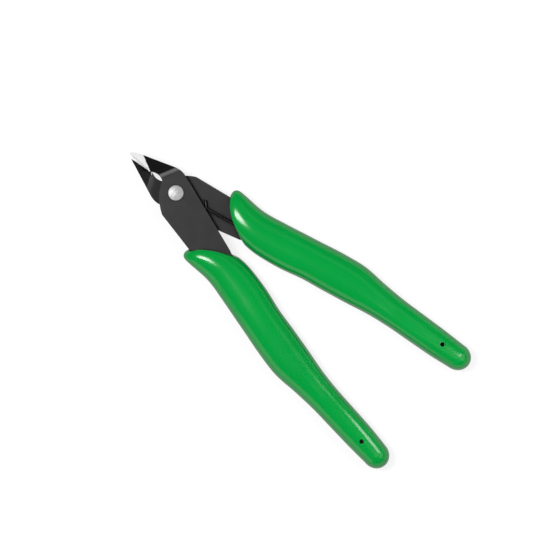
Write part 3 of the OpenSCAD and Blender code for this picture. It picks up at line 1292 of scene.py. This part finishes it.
    def tail_ring(self, degrees: float) -> list[Vector]:
        """Draws a ring of the rounded tail.

        Args:
            degrees: 0 at the tail's start, 90 at its end.

        Returns:
            The ring's points, in the row frame.
        """
        end = self.SECTIONS[-1]
        a = math.radians(degrees)
        middle = Vector(self.tail_mid) + self.tail_dome * math.sin(a) * unit(self.tail_slant - 90)
        half_w, half_t = end.width / 2 * math.cos(a), end.thick / 2 * math.cos(a)
        return self.section(middle, unit(self.tail_slant), half_w, half_t, 0.0, 0.0)

    def shell(self) -> Form:
        """Sweeps the grip before anything is let in.

        Returns:
            Its closed skin.
        """
        lip = max(self.horn_reach, self.heel_r, self.lip_reach) / self.length
        turns = [math.radians(90 * i / self.lip_steps) for i in range(self.lip_steps + 1)]
        shares = [lip * (1 - math.cos(turn)) for turn in turns]
        shares += [lerp(lip, 1.0, i / self.body_steps) for i in range(1, self.body_steps + 1)]
        rings = [self.body_ring(share) for share in shares]
        rings += [self.tail_ring(90 * i / self.tail_steps) for i in range(1, self.tail_steps)]
        across = self.across(0)
        flat = self.middle(0) + self.mouth_bow * Vector((-across.y, across.x))
        mouth = self.settle(flat.x, flat.y, 0)
        first = rings[0]
        for i in range(1, self.cap_steps):
            rings.insert(0, [point.lerp(mouth, i / self.cap_steps) for point in first])
        end = Vector(self.tail_mid) + self.tail_dome * unit(self.tail_slant - 90)
        return skin(rings, mouth, self.settle(end.x, end.y, 0))

    def tang_cutter(self) -> Piece:
        """Grows the lever's plate by the fit, all round.

        Returns:
            The cutter.
        """
        form = welded(self.side.lever)
        bmesh.ops.triangulate(form, faces=form.faces)
        grown = []
        for vert in form.verts:
            outwards = vert.normal * vert.calc_shell_factor()
            grown.append(vert.co + outwards * self.fit * MM)
        for vert, point in zip(form.verts, grown):
            vert.co = point
        return new_piece(f"{self.side.value}_tang_cutter", form, ())

    def pin_cutter(self) -> Piece:
        """Draws the pin hole through the tail.

        Returns:
            The cutter.
        """
        share = 1 - (self.pin_inset - self.tail_dome) / (self.mouth_mid[1] - self.tail_mid[1])
        middle = self.middle(share) + self.pin_aside * self.across(share)
        at = place(self.side.mirror * middle.x, middle.y - self.slip, 0)
        top = Vector((0, 0, self.curve("thick", share) * MM))
        ways = [self.pin_hole_d / 2 * MM * way.to_3d() for way in circle(self.pin_sides)]
        rings = [[at + end + way for way in ways] for end in (-top, top)]
        return new_piece(f"{self.side.value}_pin_cutter", skin(rings, at - top, at + top), ())

    def build(self) -> None:
        """Sweeps the grip and lets in the tang, the pin hole and, on the rear grip, the wire."""
        sleeve = f"{self.side.value}_sleeve"
        self.piece = new_piece(sleeve, self.shell(), (self.vinyl.material(),))
        cutters = [self.tang_cutter(), self.pin_cutter()]
        if self.spring:
            channel = self.spring.tube(self.spring.wire_d + 2 * self.fit)
            cutters.append(new_piece("wire_cutter", channel, ()))
        carve(self.piece, cutters)
        self.piece.data.set_sharp_from_angle(angle=math.radians(self.sharp_angle))

    def dress(self) -> None:
        """Evens the shading and sets the grip on its half."""
        even_shading(self.piece)
        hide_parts(self.side.grip)
        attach(self.piece, self.side.body)


class Panel(Enum):
    """Outlines of the lamps' faces."""

    SQUARE = "RECTANGLE"
    ROUND = "ELLIPSE"

    @property
    def fill(self) -> float:
        """Share of the outline's box that it fills."""
        return math.pi / 4 if self is Panel.ROUND else 1.0


@dataclass(frozen=True)
class Softbox:
    """One soft lamp: its direction from its target on the tool, its distance, size and radiance."""

    name: str
    towards: Point
    target: Pair
    distance: float
    size: Pair
    brightness: float
    panel: Panel = Panel.ROUND

    def hang(self) -> None:
        """Hangs the lamp over its target, and keeps it out of the picture."""
        lamp = bpy.data.lights.new(self.name, "AREA")
        lamp.shape = self.panel.value
        lamp.size, lamp.size_y = self.size
        lamp.energy = self.brightness * math.pi * self.size[0] * self.size[1] * self.panel.fill
        stand = bpy.data.objects.new(self.name, lamp)
        way = Vector(self.towards).normalized()
        stand.location = Vector((*self.target, PIVOT.z)) + way * self.distance
        stand.rotation_mode = "QUATERNION"
        stand.rotation_quaternion = (-way).to_track_quat("-Z", "Y")
        stand.visible_camera = False
        bpy.context.scene.collection.objects.link(stand)


@dataclass
class Studio:
    """The pale floor, the lamps and the camera over the tool."""

    middle: Pair = (1.40, -42.74)
    view_width: float = IMAGE_SIDE / PIXELS_TO_MM
    image_right: Pair = (0.6626, -0.7490)
    camera_height: float = 0.9
    sensor: float = 36.0
    floor_half: float = 2.5
    floor_cells: int = 8
    floor_colour: Colour = grey(0.24)
    floor_lift: float = 0.78
    floor_rough: float = 0.9
    ambient: float = 0.25
    ceiling: float = 0.04
    wall_top: Pair = (0.1, 0.35)
    lamps: tuple[Softbox, ...] = (
        Softbox("key", (-0.17, 0.33, 0.93), (0.0, 0.025), 0.6, (0.17, 0.25), 23.0),
        Softbox("tail", (0.474, -0.10, 0.876), (0.0, -0.0673), 0.179, (0.03, 0.09), 9.0),
        Softbox("strip", (0.55, -0.13, 0.82), (0.0, -0.01), 0.6, (0.60, 0.15), 0.2, Panel.SQUARE),
        Softbox("side", (0.38, -0.62, 0.68), (0.0, 0.05), 0.7, (0.50, 0.40), 1.3, Panel.SQUARE),
        Softbox("left", (-0.93, -0.12, 0.34), (0.0, 0.06), 0.6, (0.35, 0.22), 1.1, Panel.SQUARE),
        Softbox("fold", (-0.03, -0.33, 0.94), (0.0, 0.05), 0.6, (0.21, 0.06), 2.2, Panel.SQUARE),
    )

    def aim(self) -> None:
        """Hangs the camera straight over the tool, turned as in the photograph."""
        data = bpy.data.cameras.new("camera")
        data.sensor_width = self.sensor
        data.lens = self.sensor * self.camera_height / (self.view_width * MM)
        camera = bpy.data.objects.new("camera", data)
        right = Vector((*self.image_right, 0.0)).normalized()
        back = Vector((0.0, 0.0, 1.0))
        turn = Matrix((right, back.cross(right), back)).transposed()
        stand = place(*self.middle, 0.0) + back * self.camera_height
        camera.matrix_world = Matrix.Translation(stand) @ turn.to_4x4()
        bpy.context.scene.collection.objects.link(camera)
        bpy.context.scene.camera = camera

    def seen(self, wiring: Wiring) -> Socket:
        """Tells the rays that show the background: from the camera, a mirror or through glass.

        Args:
            wiring: the wiring of the floor's material or of the world.

        Returns:
            A socket that is 1 for such a ray, else 0.
        """
        path = wiring.add("ShaderNodeLightPath").outputs
        shown = wiring.math("MAXIMUM", path["Is Camera Ray"], path["Is Glossy Ray"])
        return wiring.math("MAXIMUM", shown, path["Is Transmission Ray"])

    def light(self) -> None:
        """Sets the white surround, with a dim ceiling for mirrors, and hangs the lamps."""
        world = bpy.data.worlds.new("white_surround")
        world.use_nodes = True
        bpy.context.scene.world = world
        wiring = Wiring(world.node_tree)
        way = wiring.add("ShaderNodeTexCoord").outputs["Generated"]
        height = wiring.add("ShaderNodeSeparateXYZ", {"Vector": way}).outputs["Z"]
        walls = wiring.span(height, *self.wall_top, 1.0, self.ceiling)
        watched = wiring.add("ShaderNodeLightPath").outputs["Is Camera Ray"]
        shown = wiring.math("MAXIMUM", watched, walls)
        lift = wiring.math("SUBTRACT", shown, self.ambient)
        strength = wiring.math("MULTIPLY_ADD", self.seen(wiring), lift, self.ambient)
        background = world.node_tree.nodes["Background"]
        wiring.feed(background.inputs["Color"], (1.0, 1.0, 1.0, 1.0))
        wiring.feed(background.inputs["Strength"], strength)
        for lamp in self.lamps:
            lamp.hang()

    def lay_floor(self) -> None:
        """Lays the pale floor that the tool rests on."""
        form = bmesh.new()
        cells = self.floor_cells
        bmesh.ops.create_grid(form, x_segments=cells, y_segments=cells, size=self.floor_half)
        surface = Surface("pale_floor")
        wiring = surface.wiring
        lift = wiring.mix(self.seen(wiring), BLACK, grey(self.floor_lift))
        colour = (*self.floor_colour, 1.0)
        surface.set(base_color=colour, roughness=self.floor_rough, specular_ior_level=0.0)
        surface.set(emission_color=lift, emission_strength=1.0)
        new_piece("floor", form, (surface.material,))

    def build(self) -> None:
        """Sets up the floor, light and camera, with plain colour output."""
        bpy.context.scene.view_settings.view_transform = "Standard"
        self.aim()
        self.light()
        self.lay_floor()


def assemble() -> list[Lever | Rivet | ReturnSpring | Grip]:
    """Lists the tool's sub-assemblies in the order in which they are built.

    Returns:
        The sub-assemblies.
    """
    spring = ReturnSpring()
    return [
        Lever(
            Side.FRONT,
            fold_angle=21.0,
            fold=FoldTones(7.6, 8.1, 7.3, 1.1, jaw=0.013, painted_highlight=0.175, neck_shadow=0.02),
            ground=(GroundFace(29.0, 0.0, 1),),
            ground_metal=0.25,
        ),
        Lever(
            Side.REAR,
            fold_angle=24.4,
            fold=FoldTones(9.7, 10.05, 9.1, 1.5, jaw=0.003, painted_highlight=0.062, neck_shadow=0.002),
            ground=(GroundFace(29.0, 0.0, -1), GroundFace(3.0, -17.2, 1)),
            ground_metal=0.05,
        ),
        Rivet(),
        spring,
        Grip(Side.FRONT, slip=1.3, vinyl=Vinyl("green_vinyl_front")),
        Grip(Side.REAR, slip=0.0, vinyl=Vinyl("green_vinyl_rear"), spring=spring),
    ]


def main() -> None:
    """Builds the studio and every piece."""
    logging.basicConfig(level=logging.INFO, format="%(name)s: %(message)s")
    Studio().build()
    for part in assemble():
        part.build()
        part.dress()
        LOG.info("%s: %d faces", part.piece.name, len(part.piece.data.polygons))
    bpy.context.view_layer.update()


if __name__ == "__main__":
    main()
